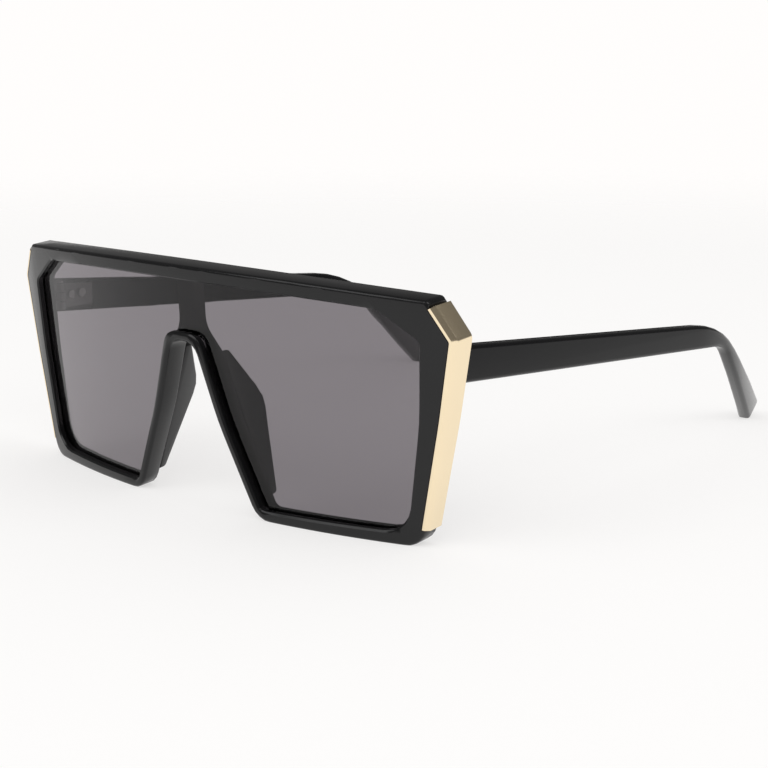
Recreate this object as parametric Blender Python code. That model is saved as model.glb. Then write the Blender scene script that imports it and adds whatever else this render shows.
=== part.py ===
# Shield sunglasses: a wrapped full rim with a one-piece lens, metal corner trims and folding temples.
# Metres, +Z up. The front faces -Y, the temples run to +Y, and +X is the wearer's left.
# The front is drawn flat, as x across, v up and d backwards from its face, and then wrapped.

import math
import bmesh
import bpy
from mathutils import Matrix, Vector

MM = 0.001

# Front frame, drawn flat
TOP_HEIGHT = 62.4 * MM
BROW_ARCH = 3.5 * MM
TEMPLE_HALF_WIDTH = 74.1 * MM
TEMPLE_CORNER_DROP = 12.8 * MM
TEMPLE_CORNER_RADIUS = 1.6 * MM
TOP_CORNER_STEP = 5.6 * MM
TOP_CORNER_RADIUS = 1.2 * MM
CHEEK_STEP = 3.1 * MM
CHEEK_HEIGHT = 30.0 * MM
CHEEK_RADIUS = 90.0 * MM
FOOT_STEP = 8.9 * MM
FOOT_DIP = 0.6 * MM
FOOT_CORNER_RADIUS = 5.0 * MM
NOSE_FOOT_HALF = 20.8 * MM
NOSE_FOOT_RADIUS = 6.0 * MM
NOSE_MID_HALF = 10.2 * MM
NOSE_MID_HEIGHT = 24.0 * MM
NOSE_MID_RADIUS = 70.0 * MM
NOSE_TOP_HALF = 4.0 * MM
NOSE_TOP_DROP = 19.3 * MM
NOSE_TOP_RADIUS = 4.4 * MM
FRAME_DEPTH = 7.4 * MM
FRAME_EDGE = 0.9 * MM
REAR_FOOT_SHARE = 0.45

# Opening in the rim, seen from the front
BROW_BAR = 3.7 * MM
CHAMFER_RIM = 12.2 * MM
TEMPLE_RIM = 7.5 * MM
TEMPLE_RIM_DROP = 0.4 * MM
CHEEK_RIM = 5.2 * MM
FOOT_RIM = 3.2 * MM
OPENING_CORNER_RADIUS = 2.6 * MM
OPENING_FOOT_RADIUS = 7.0 * MM
FOOT_BAR = 2.8 * MM
NOSE_RIM = 2.2 * MM
OPENING_NOSE_RADIUS = 1.8 * MM
OPENING_CHAMFER = 0.45 * MM

# Openings behind the lens
COLUMN_WIDTH = 5.8 * MM
COLUMN_FOOT_RISE = 3.1 * MM
COLUMN_FLARE_RADIUS = 7.0 * MM
NOSE_BACK_RIM = 3.3 * MM
REAR_OPENING_RADIUS = 2.2 * MM

# Lens and its groove
LENS_RECESS = 2.0 * MM
LENS_THICKNESS = 1.6 * MM
LENS_LAP = 0.7 * MM
LENS_GAP = 0.15 * MM

# Wrap and lean of the front
WRAP_RADIUS = 218.5 * MM
LEAN = math.radians(4.3)
FOOT_CUT = 0.4 * MM

# Corner trims
TRIM_THICKNESS = 1.5 * MM
TRIM_PROUD = 1.0 * MM
TRIM_BEVEL = 0.9 * MM
TRIM_GAP = 0.2 * MM
TRIM_TOP_STEP = 2.0 * MM
TRIM_FOOT_STEP = 4.6 * MM
TRIM_PEG_RADIUS = 0.8 * MM
TRIM_PEG_LENGTH = 1.3 * MM
TRIM_PEG_DEPTH = 5.2 * MM
TRIM_PEG_HEIGHTS = (22.0 * MM, 41.0 * MM)

# Nose pads
PAD_THICKNESS = 2.2 * MM
PAD_REACH = 8.3 * MM
PAD_TOP_HEIGHT = 39.4 * MM
PAD_FOOT_HEIGHT = 4.5 * MM
PAD_PEAK_SHARE = 0.36
PAD_PEAK_RADIUS = 9.0 * MM
PAD_EDGE = 0.5 * MM
PAD_CORNER_RADIUS = 1.1 * MM
PAD_INSET = 0.35 * MM
PAD_GAP = 0.25 * MM
PAD_FLARE = math.radians(4.0)
PAD_PEG_RADIUS = 0.7 * MM
PAD_PEG_LENGTH = 1.2 * MM
PAD_PEG_SHARES = (0.22, 0.72)

# Hinges
HINGE_DROP = 6.0 * MM
KNUCKLE_RADIUS = 1.45 * MM
KNUCKLE_LENGTH = 2.3 * MM
KNUCKLE_GAP = 0.25 * MM
PIN_RADIUS = 0.55 * MM
PIN_GAP = 0.1 * MM
SWING_GAP = 0.35 * MM
SEAT_STEP = 4.2 * MM
ANCHOR_WIDTH = 1.8 * MM
ANCHOR_DEPTH = 2.0 * MM
ANCHOR_SHIFT = 0.3 * MM
ANCHOR_GAP = 0.2 * MM
LEAF_THICKNESS = 1.1 * MM
LEAF_LENGTH = 10.5 * MM
LEAF_SINK = 0.4 * MM
LEAF_GAP = 0.2 * MM
SCREW_HEAD_RADIUS = 1.2 * MM
SCREW_HEAD_HEIGHT = 0.5 * MM
LEAF_SCREW_RADIUS = 0.6 * MM
LEAF_SCREW_LENGTH = 1.0 * MM
LEAF_SCREW_GAP = 0.15 * MM
LEAF_SCREW_PLACES = (4.4 * MM, 8.4 * MM)

# Temples
TEMPLE_START_RISE = 0.5 * MM
TEMPLE_STRAIGHT = 123.9 * MM
BEND_STEP = 4.7 * MM
TEMPLE_DROP = math.radians(5.75)
HOOK_TURN = math.radians(40.0)
TEMPLE_THICKNESS = 4.0 * MM
TEMPLE_FRONT_HEIGHT = 9.2 * MM
TEMPLE_BEND_HEIGHT = 6.7 * MM
TIP_WIDTH = 8.6 * MM
TIP_SLANT = math.radians(33.0)
TIP_SINK = 0.75 * MM
BEND_OUTER_RADIUS = 50.0 * MM
BEND_INNER_RADIUS = 12.0 * MM
TIP_RADIUS = 1.5 * MM
TOE_IN = 4.4 * MM
TOE_LEAD = 8.0 * MM
TOE_STEPS = 4
TEMPLE_EDGE = 1.2 * MM
TEMPLE_SIDE_STEP = 0.3 * MM
TEMPLE_CANT = math.radians(5.5)
TEMPLE_GAP = 0.3 * MM

# Core wires inside the temples
CORE_HEIGHT = 1.8 * MM
CORE_THICKNESS = 0.9 * MM
CORE_GAP = 0.15 * MM
CORE_SKIN = 0.6 * MM
CORE_TIP_COVER = 9.0 * MM
CORE_BEND_RADIUS = 26.0 * MM

# How finely curves are drawn
ARC_TURN = math.radians(20.0)
ARC_STEP = 6.0 * MM
WRAP_STEP = 5.2 * MM
BROW_STEPS = 8
ROUND_SIDES = 20
OVERRUN = 3.0 * MM
SMOOTH_ANGLE = math.radians(35.0)
FLAT_ANGLE = math.radians(0.2)
WELD = 0.001 * MM
ROUND_SHARE = 0.48

# Places that follow from the sizes above
TOP_HALF_WIDTH = TEMPLE_HALF_WIDTH - TOP_CORNER_STEP
CHEEK_HALF_WIDTH = TEMPLE_HALF_WIDTH - CHEEK_STEP
FOOT_HALF_WIDTH = TEMPLE_HALF_WIDTH - FOOT_STEP
TEMPLE_CORNER_HEIGHT = TOP_HEIGHT - TEMPLE_CORNER_DROP
NOSE_TOP_HEIGHT = TOP_HEIGHT - NOSE_TOP_DROP
OPENING_TOP_HALF = TOP_HALF_WIDTH - CHAMFER_RIM
SEAT_X = TEMPLE_HALF_WIDTH - SEAT_STEP
HINGE_HEIGHT = TEMPLE_CORNER_HEIGHT - HINGE_DROP

NOSE_OUTER = ((NOSE_MID_HALF, NOSE_MID_HEIGHT), (NOSE_FOOT_HALF, 0.0))


def new_collection(name):
    collection = bpy.data.collections.new(name)
    bpy.context.scene.collection.children.link(collection)
    return collection


def clear_scene():
    for item in list(bpy.data.objects):
        bpy.data.objects.remove(item)
    for collection in list(bpy.data.collections):
        bpy.data.collections.remove(collection)


# Outlines

def fillet(corners, closed=True):
    """Round the corners (x, y, radius) of an outline and return its points."""
    points = []
    count = len(corners)
    for index, (x, y, radius) in enumerate(corners):
        here = Vector((x, y))
        open_end = not closed and index in (0, count - 1)
        if radius <= 0 or open_end:
            points.append(here)
            continue
        before = Vector(corners[index - 1][:2]) - here
        after = Vector(corners[(index + 1) % count][:2]) - here
        inside = before.angle(after)
        room = min(before.length, after.length) * ROUND_SHARE
        reach = min(radius / math.tan(inside / 2), room)
        radius = reach * math.tan(inside / 2)
        turn = math.pi - inside
        bisector = (before.normalized() + after.normalized()).normalized()
        centre = here + bisector * (radius / math.sin(inside / 2))
        start = here + before.normalized() * reach - centre
        sign = 1 if before.cross(after) < 0 else -1
        steps = max(1, math.ceil(turn / ARC_TURN), math.ceil(turn * radius / ARC_STEP))
        for step in range(steps + 1):
            spoke = start.copy()
            spoke.rotate(Matrix.Rotation(sign * turn * step / steps, 2))
            points.append(centre + spoke)
    return points


def grow(points, distance, closed=True):
    """Offset an outline that runs clockwise outwards by a distance."""
    grown = []
    count = len(points)
    for index, here in enumerate(points):
        before = here - points[index - 1]
        after = points[(index + 1) % count] - here
        if not closed and index == 0:
            before = after
        if not closed and index == count - 1:
            after = before
        sides = []
        for side in (before, after):
            side = side.normalized()
            sides.append(Vector((-side.y, side.x)))
        mitre = (sides[0] + sides[1]).normalized()
        grown.append(here + mitre * (distance / mitre.dot(sides[0])))
    return grown


def brow_line(half_width, drop):
    """Corners along the arched top edge, from the centre out to a half width."""
    corners = []
    for step in range(BROW_STEPS):
        x = half_width * step / BROW_STEPS
        corners.append((x, brow_height(x) - drop, 0.0))
    return corners


def brow_height(x):
    return TOP_HEIGHT - BROW_ARCH * (x / TOP_HALF_WIDTH) ** 2


def mirrored_outline(half):
    """Close a half outline, which starts and ends on the centre line, with its mirror image."""
    other = [(-x, y, radius) for x, y, radius in reversed(half) if x > WELD]
    return half + other


def nose_x(v, rim):
    """Half width of the nose cut at a height, widened by a rim measured square to its edge."""
    (upper_x, upper_v), (lower_x, lower_v) = NOSE_OUTER
    if v > upper_v:
        upper_x, upper_v, lower_x, lower_v = NOSE_TOP_HALF, NOSE_TOP_HEIGHT, upper_x, upper_v
    slope = (lower_x - upper_x) / (upper_v - lower_v)
    return upper_x + slope * (upper_v - v) + rim * math.hypot(1, slope)


def envelope_outline():
    half = brow_line(TOP_HALF_WIDTH, 0.0) + [
        (TOP_HALF_WIDTH, brow_height(TOP_HALF_WIDTH), TOP_CORNER_RADIUS),
        (TEMPLE_HALF_WIDTH, TEMPLE_CORNER_HEIGHT, TEMPLE_CORNER_RADIUS),
        (CHEEK_HALF_WIDTH, CHEEK_HEIGHT, CHEEK_RADIUS),
        (FOOT_HALF_WIDTH, -FOOT_DIP, FOOT_CORNER_RADIUS),
        (NOSE_FOOT_HALF, 0.0, NOSE_FOOT_RADIUS),
        (NOSE_MID_HALF, NOSE_MID_HEIGHT, NOSE_MID_RADIUS),
        (NOSE_TOP_HALF, NOSE_TOP_HEIGHT, NOSE_TOP_RADIUS),
    ]
    return fillet(mirrored_outline(half))


def temple_side_corners():
    """Corners of the opening's outer side, from its top to its foot."""
    return [
        (OPENING_TOP_HALF, brow_height(OPENING_TOP_HALF) - BROW_BAR, OPENING_CORNER_RADIUS),
        (TEMPLE_HALF_WIDTH - TEMPLE_RIM, TEMPLE_CORNER_HEIGHT - TEMPLE_RIM_DROP, OPENING_CORNER_RADIUS),
        (CHEEK_HALF_WIDTH - CHEEK_RIM, CHEEK_HEIGHT, CHEEK_RADIUS),
        (FOOT_HALF_WIDTH - FOOT_RIM, FOOT_BAR, OPENING_FOOT_RADIUS),
    ]


def opening_outline():
    half = brow_line(OPENING_TOP_HALF, BROW_BAR) + temple_side_corners() + [
        (nose_x(FOOT_BAR, NOSE_RIM), FOOT_BAR, OPENING_NOSE_RADIUS),
        (nose_x(NOSE_MID_HEIGHT, NOSE_RIM), NOSE_MID_HEIGHT, NOSE_MID_RADIUS),
        (nose_x(NOSE_TOP_HEIGHT + NOSE_RIM, NOSE_RIM), NOSE_TOP_HEIGHT + NOSE_RIM, NOSE_TOP_RADIUS),
    ]
    return fillet(mirrored_outline(half))


def rear_outline(side):
    """Outline of the opening behind the lens on one side of the column."""
    half_column = COLUMN_WIDTH / 2
    brow = [corner for corner in brow_line(OPENING_TOP_HALF, BROW_BAR) if corner[0] > COLUMN_WIDTH]
    corners = [(half_column, brow_height(half_column) - BROW_BAR, REAR_OPENING_RADIUS)] + brow
    corners += temple_side_corners() + [
        (nose_x(FOOT_BAR, NOSE_BACK_RIM), FOOT_BAR, REAR_OPENING_RADIUS),
        (nose_x(NOSE_MID_HEIGHT, NOSE_BACK_RIM), NOSE_MID_HEIGHT, NOSE_MID_RADIUS),
        (nose_x(NOSE_TOP_HEIGHT - NOSE_BACK_RIM, NOSE_BACK_RIM), NOSE_TOP_HEIGHT - NOSE_BACK_RIM,
         COLUMN_FLARE_RADIUS),
        (half_column, NOSE_TOP_HEIGHT + COLUMN_FOOT_RISE, COLUMN_FLARE_RADIUS),
    ]
    return [Vector((point.x * side, point.y)) for point in fillet(corners)]


def trim_band(inset, end_gap):
    """Outline of the band that a corner trim fills, reaching past the rim's outer edge."""
    chamfer_top = Vector((TOP_HALF_WIDTH, brow_height(TOP_HALF_WIDTH)))
    chamfer_foot = Vector((TEMPLE_HALF_WIDTH, TEMPLE_CORNER_HEIGHT))
    down = (chamfer_foot - chamfer_top).normalized()
    start = chamfer_top + down * (TRIM_TOP_STEP - end_gap)
    foot = Vector((FOOT_HALF_WIDTH, -FOOT_DIP))
    up = (Vector((CHEEK_HALF_WIDTH, CHEEK_HEIGHT)) - foot).normalized()
    end = foot + up * (TRIM_FOOT_STEP - end_gap)
    path = fillet([
        (start.x, start.y, 0.0),
        (TEMPLE_HALF_WIDTH, TEMPLE_CORNER_HEIGHT, TEMPLE_CORNER_RADIUS),
        (CHEEK_HALF_WIDTH, CHEEK_HEIGHT, CHEEK_RADIUS),
        (end.x, end.y, 0.0),
    ], closed=False)
    outer = grow(path, OVERRUN, closed=False)
    inner = grow(path, -inset, closed=False)
    return outer + inner[::-1]


# Solids

def weld_mesh(mesh, face_outwards=False, turn_over=False):
    work = bmesh.new()
    work.from_mesh(mesh)
    bmesh.ops.remove_doubles(work, verts=work.verts, dist=WELD)
    if face_outwards:
        bmesh.ops.recalc_face_normals(work, faces=work.faces)
    if turn_over:
        bmesh.ops.reverse_faces(work, faces=work.faces)
    work.to_mesh(mesh)
    work.free()


def mesh_object(name, mesh, collection):
    mesh.name = name
    item = bpy.data.objects.new(name, mesh)
    collection.objects.link(item)
    return item


def extrude_outline(name, points, thickness, turn, collection, edge=0.0, edge_steps=0):
    """A flat outline with a thickness, centred on its plane, with rounded or chamfered edges."""
    curve = bpy.data.curves.new(name, 'CURVE')
    curve.dimensions = '2D'
    curve.fill_mode = 'BOTH'
    curve.extrude = thickness / 2 - edge
    curve.bevel_depth = edge
    curve.bevel_resolution = edge_steps
    curve.offset = -edge
    spline = curve.splines.new('POLY')
    spline.points.add(len(points) - 1)
    for target, point in zip(spline.points, points):
        target.co = (point[0], point[1], 0.0, 1.0)
    spline.use_cyclic_u = True
    holder = bpy.data.objects.new(name, curve)
    collection.objects.link(holder)
    holder.matrix_world = turn
    bpy.context.view_layer.update()
    shaped = holder.evaluated_get(bpy.context.evaluated_depsgraph_get())
    mesh = bpy.data.meshes.new_from_object(shaped)
    mesh.transform(turn)
    bpy.data.objects.remove(holder)
    bpy.data.curves.remove(curve)
    weld_mesh(mesh, face_outwards=True)
    return mesh_object(name, mesh, collection)


UPRIGHT = Matrix.Rotation(math.radians(90), 4, 'X')
SIDEWAYS = Matrix(((0, 0, 1, 0), (1, 0, 0, 0), (0, 1, 0, 0), (0, 0, 0, 1)))


def front_plate(name, points, near, far, collection, edge=0.0, edge_steps=0):
    """A plate of the flat front between two depths."""
    turn = Matrix.Translation((0.0, (near + far) / 2, 0.0)) @ UPRIGHT
    return extrude_outline(name, points, far - near, turn, collection, edge, edge_steps)


def side_plate(name, points, inner, outer, collection, edge=0.0, edge_steps=0):
    """A plate drawn in the side view between two distances from the middle."""
    turn = Matrix.Translation(((inner + outer) / 2, 0.0, 0.0)) @ SIDEWAYS
    return extrude_outline(name, points, outer - inner, turn, collection, edge, edge_steps)


def box(name, low, high, collection):
    mesh = bpy.data.meshes.new(name)
    work = bmesh.new()
    bmesh.ops.create_cube(work, size=1.0)
    work.to_mesh(mesh)
    work.free()
    low, high = Vector(low), Vector(high)
    mesh.transform(Matrix.Translation((low + high) / 2) @ Matrix.Diagonal((*(high - low), 1.0)))
    return mesh_object(name, mesh, collection)


def cylinder(name, start, end, radius, collection):
    """A round solid from one point to another."""
    start, end = Vector(start), Vector(end)
    along = end - start
    mesh = bpy.data.meshes.new(name)
    work = bmesh.new()
    bmesh.ops.create_cone(work, cap_ends=True, segments=ROUND_SIDES, radius1=radius, radius2=radius,
                          depth=along.length)
    work.to_mesh(mesh)
    work.free()
    turn = along.to_track_quat('Z', 'Y').to_matrix().to_4x4()
    mesh.transform(Matrix.Translation((start + end) / 2) @ turn)
    return mesh_object(name, mesh, collection)


def combine(target, others, operation, solver='EXACT'):
    """Apply Boolean modifiers to a solid and keep its result as the mesh."""
    for other in others:
        modifier = target.modifiers.new(other.name, 'BOOLEAN')
        modifier.operation = operation
        modifier.solver = solver
        modifier.object = other
    bpy.context.view_layer.update()
    shaped = target.evaluated_get(bpy.context.evaluated_depsgraph_get())
    mesh = bpy.data.meshes.new_from_object(shaped)
    old = target.data
    target.modifiers.clear()
    target.data = mesh
    mesh.name = old.name
    bpy.data.meshes.remove(old)
    weld_mesh(mesh)
    for other in others:
        other.hide_render = True
        other.hide_set(True)
        other.display_type = 'WIRE'


def cut(target, others, solver='EXACT'):
    combine(target, others, 'DIFFERENCE', solver)


def join(target, others):
    combine(target, others, 'UNION')


def rear_depth(depth, v):
    """Depth of a point once the part of the rim behind the lens tapers towards the foot."""
    lens_back = LENS_RECESS + LENS_THICKNESS + LENS_GAP
    if depth <= lens_back:
        return depth
    share = REAR_FOOT_SHARE + (1 - REAR_FOOT_SHARE) * v / TOP_HEIGHT
    return lens_back + (depth - lens_back) * share


def wrapped(x, depth, v):
    """Where a point of the flat front lies once the front is wrapped and leant."""
    back = WRAP_RADIUS - math.sqrt(WRAP_RADIUS ** 2 - x ** 2) + depth
    y = back * math.cos(LEAN) - v * math.sin(LEAN)
    z = back * math.sin(LEAN) + v * math.cos(LEAN) - FOOT_CUT
    return Vector((x, y, z))


def slice_solid(work, point, normal):
    """Add edges where a plane crosses a solid, so that the solid can bend there."""
    parts = work.verts[:] + work.edges[:] + work.faces[:]
    bmesh.ops.bisect_plane(work, geom=parts, dist=WELD, plane_co=point, plane_no=normal)


def wrap(item, taper=True):
    """Slice a flat solid into upright strips and bend it round the face."""
    work = bmesh.new()
    work.from_mesh(item.data)
    bmesh.ops.dissolve_limit(work, angle_limit=FLAT_ANGLE, verts=work.verts, edges=work.edges)
    low = min(vertex.co.x for vertex in work.verts)
    high = max(vertex.co.x for vertex in work.verts)
    for index in range(math.ceil(low / WRAP_STEP), math.floor(high / WRAP_STEP) + 1):
        x = (index + 0.5) * WRAP_STEP
        if low + WELD < x < high - WELD:
            slice_solid(work, (x, 0.0, 0.0), (1.0, 0.0, 0.0))
    for vertex in work.verts:
        x, depth, v = vertex.co
        if taper:
            depth = rear_depth(depth, v)
        vertex.co = wrapped(x, depth, v)
    work.to_mesh(item.data)
    work.free()


def rear_y(x, v, gap=0.0):
    """How far back the rim's rear face lies."""
    return wrapped(x, rear_depth(FRAME_DEPTH + gap, v), v).y


def mirror_piece(item, name, collection):
    """The same piece for the other side of the face."""
    mesh = item.data.copy()
    mesh.transform(Matrix.Scale(-1.0, 4, (1.0, 0.0, 0.0)))
    weld_mesh(mesh, turn_over=True)
    return mesh_object(name, mesh, collection)


# Pieces of the front

def trim_pegs(radius, length, collection):
    pegs = []
    for height in TRIM_PEG_HEIGHTS:
        outer = trim_inner_x(height)
        start = (outer + TRIM_THICKNESS / 2, TRIM_PEG_DEPTH, height)
        end = (outer - length, TRIM_PEG_DEPTH, height)
        pegs.append(cylinder('trim_peg', start, end, radius, collection))
    return pegs


def trim_inner_x(height):
    """Distance from the middle to a trim's inner face."""
    if height > CHEEK_HEIGHT:
        low = (CHEEK_HALF_WIDTH, CHEEK_HEIGHT)
        high = (TEMPLE_HALF_WIDTH, TEMPLE_CORNER_HEIGHT)
    else:
        low = (FOOT_HALF_WIDTH, -FOOT_DIP)
        high = (CHEEK_HALF_WIDTH, CHEEK_HEIGHT)
    share = (height - low[1]) / (high[1] - low[1])
    return low[0] + (high[0] - low[0]) * share + TRIM_PROUD - TRIM_THICKNESS


def pad_frame():
    """Top and foot of the line that a nose pad follows, and the way away from the nose."""
    top = Vector((nose_x(PAD_TOP_HEIGHT, PAD_INSET), PAD_TOP_HEIGHT))
    foot = Vector((nose_x(PAD_FOOT_HEIGHT, PAD_INSET), PAD_FOOT_HEIGHT))
    along = (foot - top).normalized()
    return top, foot, Vector((-along.y, along.x))


def pad_pegs(radius, start_reach, length, collection):
    top, foot, away = pad_frame()
    pegs = []
    for share in PAD_PEG_SHARES:
        point = top.lerp(foot, share) + away * PAD_THICKNESS / 2
        seat = rear_depth(FRAME_DEPTH, point.y)
        start = (point.x, seat + start_reach, point.y)
        end = (point.x, seat - length, point.y)
        pegs.append(cylinder('pad_peg', start, end, radius, collection))
    return pegs


def flat_depth(depth, v):
    """The flat depth that the taper brings to a given depth."""
    lens_back = LENS_RECESS + LENS_THICKNESS + LENS_GAP
    share = REAR_FOOT_SHARE + (1 - REAR_FOOT_SHARE) * v / TOP_HEIGHT
    return lens_back + (depth - lens_back) / share


def pad_holes(cutters):
    """Blind holes behind the nose rim, placed so that the taper brings them onto the pegs."""
    holes = pad_pegs(PAD_PEG_RADIUS + PAD_GAP, OVERRUN, PAD_PEG_LENGTH + PAD_GAP, cutters)
    for hole in holes:
        for vertex in hole.data.vertices:
            x, depth, v = vertex.co
            vertex.co.y = flat_depth(depth, v)
    return holes


def make_frame(parts, cutters):
    frame = front_plate('front_frame', envelope_outline(), 0.0, FRAME_DEPTH, parts, FRAME_EDGE, 2)
    opening = opening_outline()
    groove_near = LENS_RECESS - LENS_GAP
    groove_far = LENS_RECESS + LENS_THICKNESS + LENS_GAP
    groove_middle = (groove_near + groove_far) / 2
    behind = FRAME_DEPTH + OVERRUN
    tools = [
        front_plate('groove_cut', grow(opening, LENS_LAP + LENS_GAP), groove_near, groove_far, cutters),
        front_plate('opening_cut', opening, -OVERRUN, groove_middle, cutters),
        front_plate('opening_chamfer', grow(opening, OPENING_CHAMFER), -OPENING_CHAMFER,
                    OPENING_CHAMFER, cutters, OPENING_CHAMFER, 0),
        front_plate('rear_cut_left', rear_outline(1), groove_middle, behind, cutters),
        front_plate('rear_cut_right', rear_outline(-1), groove_middle, behind, cutters),
    ]
    pocket_depth = TRIM_THICKNESS - TRIM_PROUD + TRIM_GAP
    pocket = front_plate('trim_pocket', trim_band(pocket_depth, TRIM_GAP), -OVERRUN, behind, cutters)
    sided = [pocket]
    sided += trim_pegs(TRIM_PEG_RADIUS + TRIM_GAP, TRIM_PEG_LENGTH + TRIM_GAP, cutters)
    sided += pad_holes(cutters)
    tools += sided
    tools += [mirror_piece(tool, tool.name + '_right', cutters) for tool in sided]
    cut(frame, tools, 'MANIFOLD')
    wrap(frame)
    return frame


def make_lens(parts):
    outline = grow(opening_outline(), LENS_LAP)
    lens = front_plate('shield_lens', outline, LENS_RECESS, LENS_RECESS + LENS_THICKNESS, parts)
    wrap(lens)
    return lens


def make_trim(parts, cutters):
    outline = grow(envelope_outline(), TRIM_PROUD)
    trim = front_plate('corner_trim_left', outline, 0.0, FRAME_DEPTH, parts, TRIM_BEVEL, 0)
    band = front_plate('trim_band', trim_band(TRIM_THICKNESS - TRIM_PROUD, 0.0), -OVERRUN,
                       FRAME_DEPTH + OVERRUN, cutters)
    combine(trim, [band], 'INTERSECT')
    join(trim, trim_pegs(TRIM_PEG_RADIUS, TRIM_PEG_LENGTH, cutters))
    wrap(trim)
    return trim


def make_pad(parts, cutters):
    """A fin that stands behind the nose rim and bulges where it rests on the nose."""
    top, foot, away = pad_frame()
    length = (foot - top).length
    top_seat = rear_depth(FRAME_DEPTH, top.y) + PAD_GAP
    foot_seat = rear_depth(FRAME_DEPTH, foot.y) + PAD_GAP
    peak_seat = top_seat + (foot_seat - top_seat) * PAD_PEAK_SHARE
    outline = fillet([
        (0.0, top_seat, 0.0),
        (0.0, top_seat + PAD_CORNER_RADIUS * 2, PAD_CORNER_RADIUS),
        (length * PAD_PEAK_SHARE, peak_seat + PAD_REACH, PAD_PEAK_RADIUS),
        (length, foot_seat + PAD_CORNER_RADIUS * 2, PAD_CORNER_RADIUS),
        (length, foot_seat, 0.0),
    ])
    along = (foot - top).normalized()
    centre = top + away * PAD_THICKNESS / 2
    turn = Matrix((
        (along.x, 0.0, away.x, centre.x),
        (0.0, 1.0, 0.0, 0.0),
        (along.y, 0.0, away.y, centre.y),
        (0.0, 0.0, 0.0, 1.0),
    ))
    pad = extrude_outline('nose_pad_left', outline, PAD_THICKNESS, turn, parts, PAD_EDGE, 1)
    for vertex in pad.data.vertices:
        shift = (vertex.co.y - top_seat) * math.tan(PAD_FLARE)
        vertex.co.x += away.x * shift
        vertex.co.z += away.y * shift
    join(pad, pad_pegs(PAD_PEG_RADIUS, PAD_GAP + PAD_EDGE * 2, PAD_PEG_LENGTH, cutters))
    wrap(pad, taper=False)
    return pad


# Hinges, drawn in place for the left side

def pin_place():
    """Where the left hinge's axis stands."""
    x = SEAT_X - SWING_GAP - KNUCKLE_RADIUS
    slope = math.asin(x / WRAP_RADIUS)
    y = rear_y(x, knuckle_levels()[0][0]) + (KNUCKLE_RADIUS + SWING_GAP) / math.cos(slope)
    return Vector((x, y, HINGE_HEIGHT))


def knuckle_levels():
    """Bottom and top of the three knuckles, from the lowest up."""
    pitch = KNUCKLE_LENGTH + KNUCKLE_GAP
    levels = []
    for index in (-1, 0, 1):
        middle = HINGE_HEIGHT + pitch * index
        levels.append((middle - KNUCKLE_LENGTH / 2, middle + KNUCKLE_LENGTH / 2))
    return levels


def knuckle(name, level, radius, collection, extra=0.0):
    pin = pin_place()
    return cylinder(name, (pin.x, pin.y, level[0] - extra), (pin.x, pin.y, level[1] + extra), radius,
                    collection)


def anchor_box(name, gap, back, collection):
    """The block of a front hinge that sits in the rim, or its pocket with a gap."""
    pin = pin_place()
    levels = knuckle_levels()
    middle = pin.x + ANCHOR_SHIFT
    floor = rear_y(middle - ANCHOR_WIDTH / 2, HINGE_HEIGHT) - ANCHOR_DEPTH
    low = (middle - ANCHOR_WIDTH / 2 - gap, floor - gap, levels[0][0] - gap)
    high = (middle + ANCHOR_WIDTH / 2 + gap, back, levels[2][1] + gap)
    return box(name, low, high, collection)


def make_front_hinge(parts, cutters):
    """Two knuckles on arms that grow out of a block sunk in the rim."""
    pin = pin_place()
    levels = knuckle_levels()
    back = rear_y(pin.x - ANCHOR_WIDTH / 2, HINGE_HEIGHT)
    hinge = anchor_box('front_hinge_left', 0.0, back, parts)
    low_x = pin.x + ANCHOR_SHIFT - ANCHOR_WIDTH / 2
    joined = []
    for level in (levels[0], levels[2]):
        joined.append(knuckle('front_knuckle', level, KNUCKLE_RADIUS, cutters))
        arm_start = back - ANCHOR_DEPTH / 2
        joined.append(box('front_arm', (low_x, arm_start, level[0]),
                          (low_x + ANCHOR_WIDTH, pin.y, level[1]), cutters))
    join(hinge, joined)
    bore = knuckle('front_bore', (levels[0][0], levels[2][1]), PIN_RADIUS + PIN_GAP, cutters, OVERRUN)
    cut(hinge, [bore])
    return hinge


def leaf_span():
    """The hinge plate on the temple: its inner and outer face, its start and its end."""
    pin = pin_place()
    outer = SEAT_X + LEAF_SINK - LEAF_GAP
    start = pin.y + KNUCKLE_RADIUS + SWING_GAP
    return outer - LEAF_THICKNESS, outer, start, start + LEAF_LENGTH


def make_temple_hinge(parts, cutters):
    """One knuckle on a plate that lies in the temple's inner face."""
    pin = pin_place()
    levels = knuckle_levels()
    inner, outer, start, end = leaf_span()
    leaf = box('temple_hinge_left', (inner, start, levels[0][0]), (outer, end, levels[2][1]), parts)
    middle = levels[1]
    tongue = box('leaf_tongue', (inner, pin.y, middle[0]), (outer, start + LEAF_THICKNESS, middle[1]),
                 cutters)
    join(leaf, [knuckle('temple_knuckle', middle, KNUCKLE_RADIUS, cutters), tongue])
    bore = knuckle('temple_bore', middle, PIN_RADIUS + PIN_GAP, cutters, OVERRUN)
    holes = leaf_screw_shanks(LEAF_SCREW_RADIUS + LEAF_SCREW_GAP, OVERRUN, OVERRUN, cutters)
    cut(leaf, [bore] + holes)
    return leaf


def leaf_screw_shanks(radius, before, beyond, collection):
    """Round solids along both plate screws, from before the plate's inner face to beyond it."""
    pin = pin_place()
    inner = leaf_span()[0]
    shanks = []
    for place in LEAF_SCREW_PLACES:
        start = (inner - before, pin.y + place, HINGE_HEIGHT)
        end = (inner + beyond, pin.y + place, HINGE_HEIGHT)
        shanks.append(cylinder('leaf_shank', start, end, radius, collection))
    return shanks


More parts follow.
